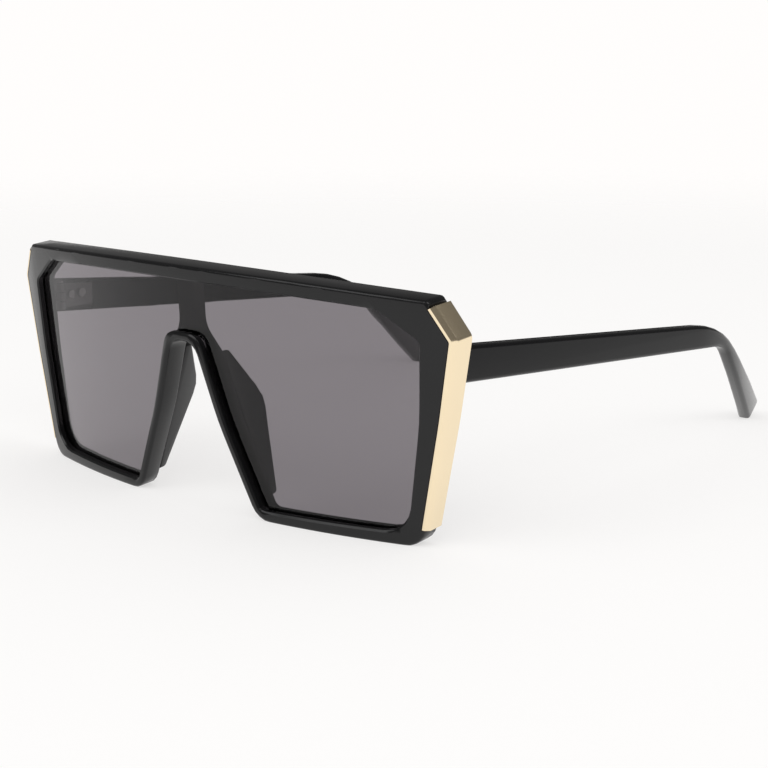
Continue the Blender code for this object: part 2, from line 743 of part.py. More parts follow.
def make_leaf_screws(parts, cutters):
    """The two screws that hold the hinge plate to the temple."""
    length = LEAF_THICKNESS + LEAF_GAP + LEAF_SCREW_LENGTH
    near = LEAF_SCREW_GAP + SCREW_HEAD_HEIGHT
    screws = leaf_screw_shanks(SCREW_HEAD_RADIUS, near, -LEAF_SCREW_GAP, parts)
    shanks = leaf_screw_shanks(LEAF_SCREW_RADIUS, near - SCREW_HEAD_HEIGHT / 2, length, cutters)
    for screw, shank, label in zip(screws, shanks, ('front', 'rear')):
        screw.name = 'leaf_screw_' + label + '_left'
        join(screw, [shank])
    return screws


def make_hinge_screw(parts, cutters):
    """The screw that the temple turns on."""
    levels = knuckle_levels()
    top = levels[2][1] + KNUCKLE_GAP
    pin_top = top + SCREW_HEAD_HEIGHT / 2
    screw = knuckle('hinge_screw_left', (levels[0][0], pin_top), PIN_RADIUS, parts)
    head = knuckle('screw_head', (top, top + SCREW_HEAD_HEIGHT), SCREW_HEAD_RADIUS, cutters)
    join(screw, [head])
    return screw


# Temples, drawn in the side view as (y, z)

def direction(angle):
    return Vector((math.cos(angle), -math.sin(angle)))


def temple_corners():
    """The temple's start, its upper and lower bend, and its foot and heel at the ground."""
    along = direction(TEMPLE_DROP)
    up = Vector((-along.y, along.x))
    start = Vector((rear_y(SEAT_X, HINGE_HEIGHT) - OVERRUN, HINGE_HEIGHT + TEMPLE_START_RISE))
    upper = start + along * (TEMPLE_STRAIGHT + OVERRUN) + up * TEMPLE_BEND_HEIGHT / 2
    lower = upper + along * BEND_STEP - up * TEMPLE_BEND_HEIGHT
    hook = direction(TEMPLE_DROP + HOOK_TURN)
    foot = lower + hook * ((lower.y + TIP_SINK) / -hook.y)
    heel = foot + direction(-TIP_SLANT) * TIP_WIDTH
    return start, upper, lower, foot, heel


def temple_outline():
    start, upper, lower, foot, heel = temple_corners()
    along = direction(TEMPLE_DROP)
    up = Vector((-along.y, along.x)) * TEMPLE_FRONT_HEIGHT / 2
    corners = [
        (start + up, 0.0),
        (upper, BEND_OUTER_RADIUS),
        (heel, TIP_RADIUS),
        (foot, TIP_RADIUS),
        (lower, BEND_INNER_RADIUS),
        (start - up, 0.0),
    ]
    return fillet([(point.x, point.y, radius) for point, radius in corners])


def core_outline(gap, front_run):
    """The core wire in the side view, or its channel when it has a gap."""
    start, upper, lower, foot, heel = temple_corners()
    bend = (upper + lower) / 2
    tip = (foot + heel) / 2
    end = tip - (tip - bend).normalized() * (CORE_TIP_COVER - gap)
    begin = start + direction(TEMPLE_DROP) * front_run
    path = fillet([
        (begin.x, begin.y, 0.0),
        (bend.x, bend.y, CORE_BEND_RADIUS),
        (end.x, end.y, 0.0),
    ], closed=False)
    half = CORE_HEIGHT / 2 + gap
    return grow(path, half, closed=False) + grow(path, -half, closed=False)[::-1]


def toe_span():
    """Where the hook starts to curve towards the head, and how far back from there it ends."""
    start, upper, lower, foot, heel = temple_corners()
    first = upper.x - TOE_LEAD
    return first, heel.x - first


def toe_in(y):
    """How far the hook has come inwards at a distance back, in straight steps."""
    first, reach = toe_span()
    place = max(0.0, (y - first) / reach * TOE_STEPS)
    step = math.floor(place)
    near = (step / TOE_STEPS) ** 2
    far = ((step + 1) / TOE_STEPS) ** 2
    return TOE_IN * (near + (far - near) * (place - step))


def lean_inward(item):
    """Cant a temple so that it follows the rim's outer side, and curve its hook inwards."""
    slope = math.tan(TEMPLE_CANT)
    first, reach = toe_span()
    work = bmesh.new()
    work.from_mesh(item.data)
    for step in range(TOE_STEPS + 1):
        slice_solid(work, (0.0, first + reach * step / TOE_STEPS, 0.0), (0.0, 1.0, 0.0))
    for vertex in work.verts:
        vertex.co.x -= (TEMPLE_CORNER_HEIGHT - vertex.co.z) * slope + toe_in(vertex.co.y)
    work.to_mesh(item.data)
    work.free()


def core_span():
    """Inner and outer face of the core wire, before the cant."""
    outer = TEMPLE_HALF_WIDTH - TEMPLE_SIDE_STEP - CORE_SKIN
    return outer - CORE_THICKNESS, outer


def make_temple(parts, cutters):
    outer = TEMPLE_HALF_WIDTH - TEMPLE_SIDE_STEP
    temple = side_plate('temple_left', temple_outline(), outer - TEMPLE_THICKNESS, outer, parts,
                        TEMPLE_EDGE, 2)
    lean_inward(temple)
    inner, far = core_span()
    channel = side_plate('core_channel', core_outline(CORE_GAP, 0.0), inner - CORE_GAP, far + CORE_GAP,
                         cutters)
    lean_inward(channel)
    swell = grow(envelope_outline(), OVERRUN)
    front_cut = front_plate('temple_front_cut', swell, -OVERRUN, FRAME_DEPTH + TEMPLE_GAP, cutters)
    wrap(front_cut)
    pin = pin_place()
    leaf_inner, leaf_outer, leaf_start, leaf_end = leaf_span()
    reach = TEMPLE_THICKNESS
    levels = knuckle_levels()
    bottom = levels[0][0] - OVERRUN
    top = levels[2][1] + OVERRUN
    seat = box('hinge_seat', (SEAT_X - reach, pin.y - reach * 2, bottom),
               (SEAT_X, leaf_end + LEAF_GAP, top), cutters)
    pocket = box('leaf_pocket', (SEAT_X - reach, pin.y - reach * 2, levels[0][0] - LEAF_GAP),
                 (SEAT_X + LEAF_SINK, leaf_end + LEAF_GAP, levels[2][1] + LEAF_GAP), cutters)
    depth = LEAF_THICKNESS + LEAF_GAP + LEAF_SCREW_LENGTH + LEAF_SCREW_GAP
    holes = leaf_screw_shanks(LEAF_SCREW_RADIUS + LEAF_SCREW_GAP, OVERRUN, depth, cutters)
    cut(temple, [front_cut, seat, pocket, channel, floor_cut('temple_floor', cutters)] + holes)
    return temple


def make_core(parts, cutters):
    inner, outer = core_span()
    core = side_plate('temple_core_left', core_outline(0.0, OVERRUN * 2), inner, outer, parts)
    lean_inward(core)
    return core


def floor_cut(name, collection):
    """A slab below the ground that cuts the resting flats."""
    reach = TEMPLE_STRAIGHT * 2
    return box(name, (-reach, -reach, -OVERRUN), (reach, reach, 0.0), collection)


# Finish and assembly

FINISHES = {
    'front_frame': ((0.006, 0.006, 0.007, 1.0), 0.16, 0.0),
    'shield_lens': ((0.05, 0.047, 0.052, 1.0), 0.05, 0.0),
    'corner_trim': ((0.86, 0.64, 0.30, 1.0), 0.2, 1.0),
    'nose_pad': ((0.008, 0.008, 0.009, 1.0), 0.22, 0.0),
    'temple_core': ((0.45, 0.45, 0.46, 1.0), 0.35, 1.0),
    'temple_hinge': ((0.55, 0.55, 0.56, 1.0), 0.3, 1.0),
    'temple': ((0.007, 0.007, 0.008, 1.0), 0.18, 0.0),
    'front_hinge': ((0.55, 0.55, 0.56, 1.0), 0.3, 1.0),
    'hinge_screw': ((0.6, 0.6, 0.61, 1.0), 0.25, 1.0),
    'leaf_screw': ((0.6, 0.6, 0.61, 1.0), 0.25, 1.0),
}
LENS_ALPHA_SHARE = 0.76


def finish_of(name):
    for prefix, finish in FINISHES.items():
        if name.startswith(prefix):
            return finish
    return FINISHES['temple']


def paint(item):
    color, roughness, metallic = finish_of(item.name)
    material = bpy.data.materials.new(item.name)
    material.use_nodes = True
    surface = material.node_tree.nodes['Principled BSDF']
    surface.inputs['Base Color'].default_value = color
    surface.inputs['Roughness'].default_value = roughness
    surface.inputs['Metallic'].default_value = metallic
    if item.name == 'shield_lens':
        surface.inputs['Alpha'].default_value = LENS_ALPHA_SHARE
    item.data.materials.clear()
    item.data.materials.append(material)


def round_shading(item):
    item.data.shade_smooth()
    item.data.set_sharp_from_angle(angle=SMOOTH_ANGLE)


def move_mesh(item, offset):
    item.data.transform(Matrix.Translation(offset))


def set_origin(item, point):
    """Put an object's origin on a point without moving the solid."""
    move_mesh(item, -point)
    item.location = point


def centre_part(items):
    """Centre the part fore and aft over the origin and return the shift."""
    depths = [vertex.co.y for item in items for vertex in item.data.vertices]
    shift = Vector((0.0, -(min(depths) + max(depths)) / 2, 0.0))
    for item in items:
        move_mesh(item, shift)
    return shift


def main():
    clear_scene()
    parts = new_collection('Shield sunglasses')
    cutters = new_collection('Cutters')

    frame = make_frame(parts, cutters)
    pin = pin_place()
    pocket = anchor_box('hinge_pocket_left', ANCHOR_GAP, pin.y + OVERRUN, cutters)
    other = mirror_piece(pocket, 'hinge_pocket_right', cutters)
    cut(frame, [pocket, other, floor_cut('frame_floor', cutters)], 'MANIFOLD')
    lens = make_lens(parts)

    fixed = [make_trim(parts, cutters), make_pad(parts, cutters), make_front_hinge(parts, cutters)]
    fixed.append(make_hinge_screw(parts, cutters))
    folding = [make_temple(parts, cutters), make_core(parts, cutters)]
    folding.append(make_temple_hinge(parts, cutters))
    folding += make_leaf_screws(parts, cutters)

    pieces = [frame, lens] + fixed + folding
    twins = {}
    for item in fixed + folding:
        twins[item] = mirror_piece(item, item.name.replace('left', 'right'), parts)
    pieces += list(twins.values())

    shift = centre_part(pieces)
    left_pin = pin + shift
    right_pin = Vector((-left_pin.x, left_pin.y, left_pin.z))
    for item in folding:
        set_origin(item, left_pin)
        set_origin(twins[item], right_pin)
    for item in pieces:
        paint(item)
        round_shading(item)
    print('left hinge axis at', tuple(round(value, 6) for value in left_pin))


main()
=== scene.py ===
# Shield sunglasses: the looks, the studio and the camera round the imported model.
import math
import bmesh
import bpy
from bpy.props import FloatProperty, FloatVectorProperty, PointerProperty
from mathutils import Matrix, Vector


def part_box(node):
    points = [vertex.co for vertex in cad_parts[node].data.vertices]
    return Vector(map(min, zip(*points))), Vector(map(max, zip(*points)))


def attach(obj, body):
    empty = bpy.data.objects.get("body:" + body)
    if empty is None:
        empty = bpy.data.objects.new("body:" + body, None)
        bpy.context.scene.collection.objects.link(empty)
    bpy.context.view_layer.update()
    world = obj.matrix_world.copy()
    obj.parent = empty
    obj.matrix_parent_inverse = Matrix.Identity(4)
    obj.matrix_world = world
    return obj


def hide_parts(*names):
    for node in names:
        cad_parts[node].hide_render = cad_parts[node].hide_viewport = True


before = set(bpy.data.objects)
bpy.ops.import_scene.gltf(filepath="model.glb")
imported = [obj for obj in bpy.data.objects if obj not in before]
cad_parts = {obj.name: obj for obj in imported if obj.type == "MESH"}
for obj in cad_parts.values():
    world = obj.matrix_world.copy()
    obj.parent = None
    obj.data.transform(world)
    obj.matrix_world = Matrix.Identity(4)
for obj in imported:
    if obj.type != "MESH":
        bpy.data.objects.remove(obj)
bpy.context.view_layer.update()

bl_info = {
    "name": "Shield sunglasses",
    "version": (1, 0, 0),
    "blender": (4, 5, 0),
    "location": "3D View > Sidebar > Sunglasses",
    "description": "Builds the finished pieces of a pair of shield sunglasses and their studio",
    "category": "Add Mesh",
}

MM = 0.001
SIDES = ("left", "right")
OUTWARD = {"left": 1.0, "right": -1.0}

# How uneven a finish is: spread of its roughness, patches to the metre, waviness
MOULDED_POLISH = (0.06, 160.0, 0.03)
GOLD_POLISH = (0.05, 300.0, 0.02)
STEEL_POLISH = (0.1, 2500.0, 0.05)
POLISH_DETAIL = 4.0
WAVE_HEIGHT = 0.1 * MM

# How uneven a colour is: spread of its brightness, patches to the metre
MOULDED_MOTTLE = (0.35, 90.0)
GOLD_MOTTLE = (0.08, 60.0)
STEEL_MOTTLE = (0.12, 1500.0)
MOTTLE_DETAIL = 3.0

NOISE_MIDDLE = 0.5

# The rounding of the trims' edges: number of steps and fullness
ROUND_STEPS = 2
ROUND_PROFILE = 0.5

# Which way the screws' slots lie: the hinge screw's by its direction, a plate screw's by its turn
HINGE_SLOT_ALONG = (0.5, 0.866, 0.0)
PLATE_SLOT_TURNS = {"leaf_screw_front": 35.0, "leaf_screw_rear": 110.0}

# A box's faces, for corners that go round its low end and then round its high end
BOX_FACES = [(3, 2, 1, 0), (4, 5, 6, 7), (0, 1, 5, 4), (1, 2, 6, 5), (2, 3, 7, 6), (3, 0, 4, 7)]
BOX_ROUND = ((-1, -1), (1, -1), (1, 1), (-1, 1))

WHITE = (1.0, 1.0, 1.0)
SENSOR_WIDTH = 36.0
NEAR_CLIP = 0.01

# Soft lights, which all face the origin: place, width, height and power
SOFTBOXES = {
    "softbox_front": ((-0.5, -1.4, 1.3), 1.2, 1.0, 7.0),
    "softbox_side": ((1.6, 0.4, 1.2), 1.0, 1.0, 6.0),
    "softbox_key": ((0.6, -0.94, 1.2), 0.9, 0.9, 3.0),
}


# Values that a user may change

def length(name, description, default):
    return FloatProperty(name=name, description=description, default=default, unit="LENGTH",
                         min=0.0)


def share(name, description, default):
    return FloatProperty(name=name, description=description, default=default, subtype="FACTOR",
                         min=0.0, max=1.0)


def tone(name, description, default):
    return FloatVectorProperty(name=name, description=description, default=default,
                               subtype="COLOR", min=0.0, max=1.0)


def turn(name, description, degrees):
    return FloatProperty(name=name, description=description, default=math.radians(degrees),
                         subtype="ANGLE")


def bending(name, description, default):
    return FloatProperty(name=name, description=description, default=default, min=1.0)


class SunglassesSizes(bpy.types.PropertyGroup):
    metal_edge: length("Metal edge", "Rounding of the gold trims' edges", 0.1 * MM)
    temple_drop: turn("Temple drop", "How far the temples fall to the back", 5.75)
    plate_trim: length("Plate trim", "How much comes off a hinge plate's upper rear corner",
                       1.4 * MM)
    slot_width: length("Slot width", "Width of a screw's slot", 0.34 * MM)
    slot_depth: length("Slot depth", "Depth of a screw's slot", 0.25 * MM)
    smooth_angle: turn("Smooth angle", "Edges that turn less than this are shaded smooth", 32.0)
    facet_angle: turn("Facet angle", "The same for the trims, whose facets stay crisp", 14.0)
    weld: length("Weld", "Points nearer than this are joined", 0.01 * MM)
    flat_angle: turn("Flat angle", "Faces that turn less than this are joined", 0.6)


class SunglassesColours(bpy.types.PropertyGroup):
    moulding: tone("Moulding", "Black of the rim and the temples", (0.006, 0.006, 0.0065))
    lens: tone("Lens", "Smoke of the lens", (0.222, 0.204, 0.220))
    gold: tone("Gold", "Plated corner trims", (0.95, 0.80, 0.56))
    steel: tone("Steel", "Hinges and wires", (0.15, 0.146, 0.143))
    screw: tone("Screw", "Turned heads of the screws", (0.30, 0.293, 0.28))
    floor: tone("Floor", "Paper under the sunglasses", (0.97, 0.97, 0.965))
    backdrop: tone("Backdrop", "White behind the sunglasses", (1.0, 0.985, 0.975))


class SunglassesFinishes(bpy.types.PropertyGroup):
    moulding_bending: bending("Moulding bending", "Refraction of the black plastic", 1.46)
    rim_roughness: share("Rim roughness", "Roughness of the rim", 0.2)
    rim_gloss: share("Rim gloss", "Strength of the rim's gloss", 0.42)
    pad_roughness: share("Pad roughness", "Roughness of the nose pads", 0.35)
    pad_gloss: share("Pad gloss", "Strength of the nose pads' gloss", 0.5)
    temple_roughness: share("Temple roughness", "Roughness of the temples", 0.2)
    temple_gloss: share("Temple gloss", "Strength of the temples' plain gloss", 0.13)
    # The tip settings below paint a sheen: a coat whose gloss rises along the temple towards its
    # tip, in place of the reflection that lights the hook
    tip_sheen_bending: bending("Tip bending", "Refraction of the tips' painted sheen", 1.9)
    tip_sheen_roughness: share("Tip roughness", "Roughness of that painted sheen", 0.12)
    painted_sheen_start: length("Tip painted sheen start", "Where that painted sheen starts", 38.0 * MM)
    painted_sheen_end: length("Tip painted sheen end", "Where that painted sheen is full", 84.0 * MM)
    lens_bending: bending("Lens bending", "Refraction of the lens", 1.34)
    gold_roughness: share("Gold roughness", "Roughness of the gold trims", 0.16)
    hinge_roughness: share("Hinge roughness", "Roughness of the hinges and wires", 0.3)
    screw_roughness: share("Screw roughness", "Roughness of the screws' heads", 0.2)
    paper_roughness: share("Paper roughness", "Roughness of the floor", 0.9)
    paper_gloss: share("Paper gloss", "Strength of the floor's gloss", 0.1)


class SunglassesStudio(bpy.types.PropertyGroup):
    camera_place: FloatVectorProperty(name="Camera place", description="Where the camera stands",
                                      default=(0.2961, -0.36805, 0.1253),
                                      subtype="TRANSLATION", unit="LENGTH")
    camera_yaw: turn("Camera yaw", "Turn of the camera from the front", 39.65)
    camera_pitch: turn("Camera pitch", "Downward tilt of the camera", 13.03)
    camera_lens: FloatProperty(name="Camera lens", description="Focal length in millimetres",
                               default=78.66, min=1.0)
    floor_reach: length("Floor reach", "Half width of the floor", 2.0)
    floor_clear: length("Clear floor", "Radius within which the floor doesn't fade", 0.32)
    floor_fade: length("Floor fade", "Width of the band in which the floor fades away", 0.5)
    surround: share("Surround", "Light from all round", 0.72)
    floor_glow: share("Floor glow", "Share of plain white in what is seen of the floor", 0.6)
    ceiling: share("Ceiling", "Brightness of the studio's ceiling in reflections", 0.16)
    ceiling_start: share("Ceiling start", "Rise at which backdrop starts to turn into ceiling",
                         0.0)
    ceiling_end: share("Ceiling end", "Rise at which only ceiling is left", 0.08)


# Mesh helpers

def weld(mesh):
    """Joins the points that a solid's faces share, and the flat faces that meet."""
    sizes = bpy.context.scene.sunglasses_sizes
    work = bmesh.new()
    work.from_mesh(mesh)
    bmesh.ops.remove_doubles(work, verts=work.verts, dist=sizes.weld)
    bmesh.ops.dissolve_limit(work, angle_limit=sizes.flat_angle, verts=work.verts,
                             edges=work.edges)
    work.to_mesh(mesh)
    work.free()


def smooth(item, angle):
    item.data.shade_smooth()
    item.data.set_sharp_from_angle(angle=angle)


def finer_copy(node, name):
    """A welded, smooth-shaded copy of a node's solid."""
    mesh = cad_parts[node].data.copy()
    mesh.name = name
    if mesh.has_custom_normals:
        mesh.normals_split_custom_set([(0.0, 0.0, 0.0)] * len(mesh.loops))
    item = bpy.data.objects.new(name, mesh)
    bpy.context.scene.collection.objects.link(item)
    weld(mesh)
    smooth(item, bpy.context.scene.sunglasses_sizes.smooth_angle)
    mesh.materials.clear()
    return item


def dress(node, name, material, body):
    """A finished piece that stands for a node."""
    item = finer_copy(node, name)
    item.data.materials.append(material)
    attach(item, body)
    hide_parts(node)
    return item


def trim_above(mesh, point, normal):
    """Takes off what stands above a plane and closes the cut."""
    work = bmesh.new()
    work.from_mesh(mesh)
    everything = work.verts[:] + work.edges[:] + work.faces[:]
    done = bmesh.ops.bisect_plane(work, geom=everything, plane_co=point, plane_no=normal,
                                  clear_outer=True)
    border = [part for part in done["geom_cut"] if isinstance(part, bmesh.types.BMEdge)]
    bmesh.ops.holes_fill(work, edges=border)
    work.to_mesh(mesh)
    work.free()


def soften(mesh, width, smallest):
    """Rounds the edges that turn more than the smallest angle."""
    work = bmesh.new()
    work.from_mesh(mesh)
    edges = [edge for edge in work.edges
             if edge.is_manifold and edge.calc_face_angle() > smallest]
    bmesh.ops.bevel(work, geom=edges, offset=width, offset_type="OFFSET", segments=ROUND_STEPS,
                    profile=ROUND_PROFILE, affect="EDGES", clamp_overlap=True)
    work.to_mesh(mesh)
    work.free()


def cut_slot(item, centre, facing, along, reach):
    """Cuts a screw's slot into its head."""
    sizes = bpy.context.scene.sunglasses_sizes
    facing, along = Vector(facing), Vector(along)
    across = facing.cross(along)
    corners = []
    for height in (-sizes.slot_depth, sizes.slot_depth):
        for side, end in BOX_ROUND:
            corners.append(centre + across * side * sizes.slot_width / 2 + along * end * reach
                           + facing * height)
    mesh = bpy.data.meshes.new("slot")
    mesh.from_pydata(corners, [], BOX_FACES)
    cutter = bpy.data.objects.new("slot", mesh)
    bpy.context.scene.collection.objects.link(cutter)
    cut = item.modifiers.new("slot", "BOOLEAN")
    cut.operation = "DIFFERENCE"
    cut.object = cutter
    cut.solver = "EXACT"
    settle(item)
    bpy.data.objects.remove(cutter)


def settle(item):
    """Applies a piece's modifiers."""
    graph = bpy.context.evaluated_depsgraph_get()
    done = bpy.data.meshes.new_from_object(item.evaluated_get(graph))
    item.modifiers.clear()
    item.data = done


# Node helpers

def add_node(tree, kind, links=None, values=None):
    """A new node with some of its inputs linked and some set."""
    node = tree.nodes.new(kind)
    for label, source in (links or {}).items():
        tree.links.new(source, node.inputs[label])
    for label, value in (values or {}).items():
        node.inputs[label].default_value = value
    return node


def calculate(tree, operation, *terms):
    """The output of a Math node, each of whose terms is a socket or a number."""
    node = tree.nodes.new("ShaderNodeMath")
    node.operation = operation
    for slot, term in zip(node.inputs, terms):
        if isinstance(term, bpy.types.NodeSocket):
            tree.links.new(term, slot)
        else:
            slot.default_value = term
    return node.outputs[0]


def rise(tree, value, start, end, top=1.0):
    """Goes smoothly from zero to the top while the value goes from start to end."""
    node = add_node(tree, "ShaderNodeMapRange", links={"Value": value},
                    values={"From Min": start, "From Max": end, "To Min": 0.0, "To Max": top})
    node.interpolation_type = "SMOOTHSTEP"
    return node.outputs["Result"]


def place_on(tree, kind):
    return tree.nodes.new("ShaderNodeTexCoord").outputs[kind]


def one_axis(tree, place, axis):
    return add_node(tree, "ShaderNodeSeparateXYZ", links={"Vector": place}).outputs[axis]


def mix_shaders(tree, share_of_second, first, second):
    node = add_node(tree, "ShaderNodeMixShader", links={"Fac": share_of_second})
    tree.links.new(first, node.inputs[1])
    tree.links.new(second, node.inputs[2])
    return node.outputs["Shader"]


def soft_noise(tree, scale, detail):
    return add_node(tree, "ShaderNodeTexNoise",
                    links={"Vector": place_on(tree, "Object"), "Scale": scale},
                    values={"Detail": detail}).outputs["Fac"]


def seen_rays(tree):
    """One for rays that come from the camera, from gloss or through the lens."""
    path = tree.nodes.new("ShaderNodeLightPath")
    total = path.outputs["Is Camera Ray"]
    for name in ("Is Glossy Ray", "Is Transmission Ray"):
        total = calculate(tree, "MAXIMUM", total, path.outputs[name])
    return total


def group(name, inputs, outputs):
    tree = bpy.data.node_groups.new(name, "ShaderNodeTree")
    for label, kind, default in inputs:
        socket = tree.interface.new_socket(name=label, in_out="INPUT", socket_type=kind)
        socket.default_value = default
    for label, kind in outputs:
        tree.interface.new_socket(name=label, in_out="OUTPUT", socket_type=kind)
    entry = tree.nodes.new("NodeGroupInput")
    leave = tree.nodes.new("NodeGroupOutput")
    return tree, entry, leave


# Materials

def polish_group():
    """Faint unevenness of a polished surface: roughness and normal."""
    tree, entry, leave = group("Polish", [
        ("Roughness", "NodeSocketFloat", 0.15),
        ("Spread", "NodeSocketFloat", 0.05),
        ("Scale", "NodeSocketFloat", 220.0),
        ("Waviness", "NodeSocketFloat", 0.02),
    ], [("Roughness", "NodeSocketFloat"), ("Normal", "NodeSocketVector")])
    noise = soft_noise(tree, entry.outputs["Scale"], POLISH_DETAIL)
    roughness = calculate(tree, "MULTIPLY_ADD", calculate(tree, "SUBTRACT", noise, NOISE_MIDDLE),
                          entry.outputs["Spread"], entry.outputs["Roughness"])
    tree.links.new(roughness, leave.inputs["Roughness"])
    bump = add_node(tree, "ShaderNodeBump",
                    links={"Strength": entry.outputs["Waviness"], "Height": noise},
                    values={"Distance": WAVE_HEIGHT})
    tree.links.new(bump.outputs["Normal"], leave.inputs["Normal"])
    return tree


def mottle_group():
    """Faint lighter and darker patches in a colour."""
    tree, entry, leave = group("Mottle", [
        ("Colour", "NodeSocketColor", (0.5, 0.5, 0.5, 1.0)),
        ("Spread", "NodeSocketFloat", 0.2),
        ("Scale", "NodeSocketFloat", 90.0),
    ], [("Colour", "NodeSocketColor")])
    noise = soft_noise(tree, entry.outputs["Scale"], MOTTLE_DETAIL)
    brightness = calculate(tree, "MULTIPLY_ADD", calculate(tree, "SUBTRACT", noise, NOISE_MIDDLE),
                           entry.outputs["Spread"], 1.0)
    tint = add_node(tree, "ShaderNodeHueSaturation",
                    links={"Color": entry.outputs["Colour"], "Value": brightness})
    tree.links.new(tint.outputs["Color"], leave.inputs["Colour"])
    return tree


def place_group(tree, known, values):
    node = add_node(tree, "ShaderNodeGroup")
    node.node_tree = known
    for label, value in values.items():
        node.inputs[label].default_value = value
    return node


def polish(tree, shader, roughness, evenness):
    spread, scale, waviness = evenness
    node = place_group(tree, bpy.data.node_groups.get("Polish") or polish_group(),
                       {"Roughness": roughness, "Spread": spread, "Scale": scale,
                        "Waviness": waviness})
    tree.links.new(node.outputs["Roughness"], shader.inputs["Roughness"])
    tree.links.new(node.outputs["Normal"], shader.inputs["Normal"])


def mottle(tree, shader, colour, evenness):
    spread, scale = evenness
    node = place_group(tree, bpy.data.node_groups.get("Mottle") or mottle_group(),
                       {"Colour": (*colour, 1.0), "Spread": spread, "Scale": scale})
    tree.links.new(node.outputs["Colour"], shader.inputs["Base Color"])


def material_once(name, finish):
    """The material of that name, which is made and finished on its first use."""
    material = bpy.data.materials.get(name)
    if material is None:
        material = bpy.data.materials.new(name)
        material.use_nodes = True
        tree = material.node_tree
        finish(tree, tree.nodes["Principled BSDF"])
    return material


def moulding_material(name, roughness, gloss):
    """The black of the rim, the nose pads and the temples."""
    def finish(tree, shader):
        finishes = bpy.context.scene.sunglasses_finishes
        shader.inputs["IOR"].default_value = finishes.moulding_bending
        shader.inputs["Specular IOR Level"].default_value = gloss
        polish(tree, shader, roughness, MOULDED_POLISH)
        mottle(tree, shader, bpy.context.scene.sunglasses_colours.moulding, MOULDED_MOTTLE)
    return material_once(name, finish)


def temple_material():
    """The moulding's black, with a painted sheen: a coat that strengthens the gloss towards the
    temple's end, standing in for the reflection that lights the hook.
    """
    finishes = bpy.context.scene.sunglasses_finishes
    material = moulding_material("Gloss black temple", finishes.temple_roughness,
                                 finishes.temple_gloss)
    tree = material.node_tree
    shader = tree.nodes["Principled BSDF"]
    # Painted sheen: a coat of higher refraction, brought in by a mask along the temple towards
    # the tip, stands in for the hook's reflection
    shader.inputs["Coat IOR"].default_value = finishes.tip_sheen_bending
    shader.inputs["Coat Roughness"].default_value = finishes.tip_sheen_roughness
    along = one_axis(tree, place_on(tree, "Object"), "Y")
    tree.links.new(rise(tree, along, finishes.painted_sheen_start, finishes.painted_sheen_end),
                   shader.inputs["Coat Weight"])
    return material


def lens_material():
    def finish(tree, shader):
        lens = bpy.context.scene.sunglasses_colours.lens
        shader.inputs["Base Color"].default_value = (*lens, 1.0)
        shader.inputs["IOR"].default_value = bpy.context.scene.sunglasses_finishes.lens_bending
        shader.inputs["Roughness"].default_value = 0.0
        shader.inputs["Transmission Weight"].default_value = 1.0
    return material_once("Smoke lens", finish)


def metal_material(name, colour, roughness, polish_evenness, mottle_evenness):
    def finish(tree, shader):
        shader.inputs["Metallic"].default_value = 1.0
        polish(tree, shader, roughness, polish_evenness)
        mottle(tree, shader, colour, mottle_evenness)
    return material_once(name, finish)


def gold_material():
    return metal_material("Plated gold", bpy.context.scene.sunglasses_colours.gold,
                          bpy.context.scene.sunglasses_finishes.gold_roughness, GOLD_POLISH,
                          GOLD_MOTTLE)


def hinge_material():
    return metal_material("Satin hinge steel", bpy.context.scene.sunglasses_colours.steel,
                          bpy.context.scene.sunglasses_finishes.hinge_roughness, STEEL_POLISH,
                          STEEL_MOTTLE)


def screw_material():
    return metal_material("Turned screw steel", bpy.context.scene.sunglasses_colours.screw,
                          bpy.context.scene.sunglasses_finishes.screw_roughness, STEEL_POLISH,
                          STEEL_MOTTLE)


# Operators

class SUNGLASSES_OT_rim(bpy.types.Operator):
    """Build the black rim"""
    bl_idname = "sunglasses.rim"
    bl_label = "Rim"

    def execute(self, context):
        finishes = context.scene.sunglasses_finishes
        black = moulding_material("Gloss black rim", finishes.rim_roughness, finishes.rim_gloss)
        dress("front_frame", "rim", black, "front")
        return {"FINISHED"}


class SUNGLASSES_OT_lens(bpy.types.Operator):
    """Build the smoke lens"""
    bl_idname = "sunglasses.lens"
    bl_label = "Lens"

    def execute(self, context):
        dress("shield_lens", "lens", lens_material(), "front")
        return {"FINISHED"}


class SUNGLASSES_OT_trims(bpy.types.Operator):
    """Build the gold corner trims"""
    bl_idname = "sunglasses.trims"
    bl_label = "Corner trims"

    def execute(self, context):
        sizes = context.scene.sunglasses_sizes
        gold = gold_material()
        for side in SIDES:
            trim = dress(f"corner_trim_{side}", f"trim_{side}", gold, "front")
            soften(trim.data, sizes.metal_edge, sizes.smooth_angle)
            smooth(trim, sizes.facet_angle)
        return {"FINISHED"}


class SUNGLASSES_OT_pads(bpy.types.Operator):
    """Build the nose pads"""
    bl_idname = "sunglasses.pads"
    bl_label = "Nose pads"

    def execute(self, context):
        finishes = context.scene.sunglasses_finishes
        black = moulding_material("Satin black pad", finishes.pad_roughness, finishes.pad_gloss)
        for side in SIDES:
            dress(f"nose_pad_{side}", f"pad_{side}", black, "front")
        return {"FINISHED"}


class SUNGLASSES_OT_temples(bpy.types.Operator):
    """Build the temples and their wires"""
    bl_idname = "sunglasses.temples"
    bl_label = "Temples"

    def execute(self, context):
        black, steel = temple_material(), hinge_material()
        for side in SIDES:
            dress(f"temple_{side}", f"arm_{side}", black, f"temple_{side}")
            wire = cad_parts[f"temple_core_{side}"]
            wire.data.materials.clear()
            wire.data.materials.append(steel)
        return {"FINISHED"}


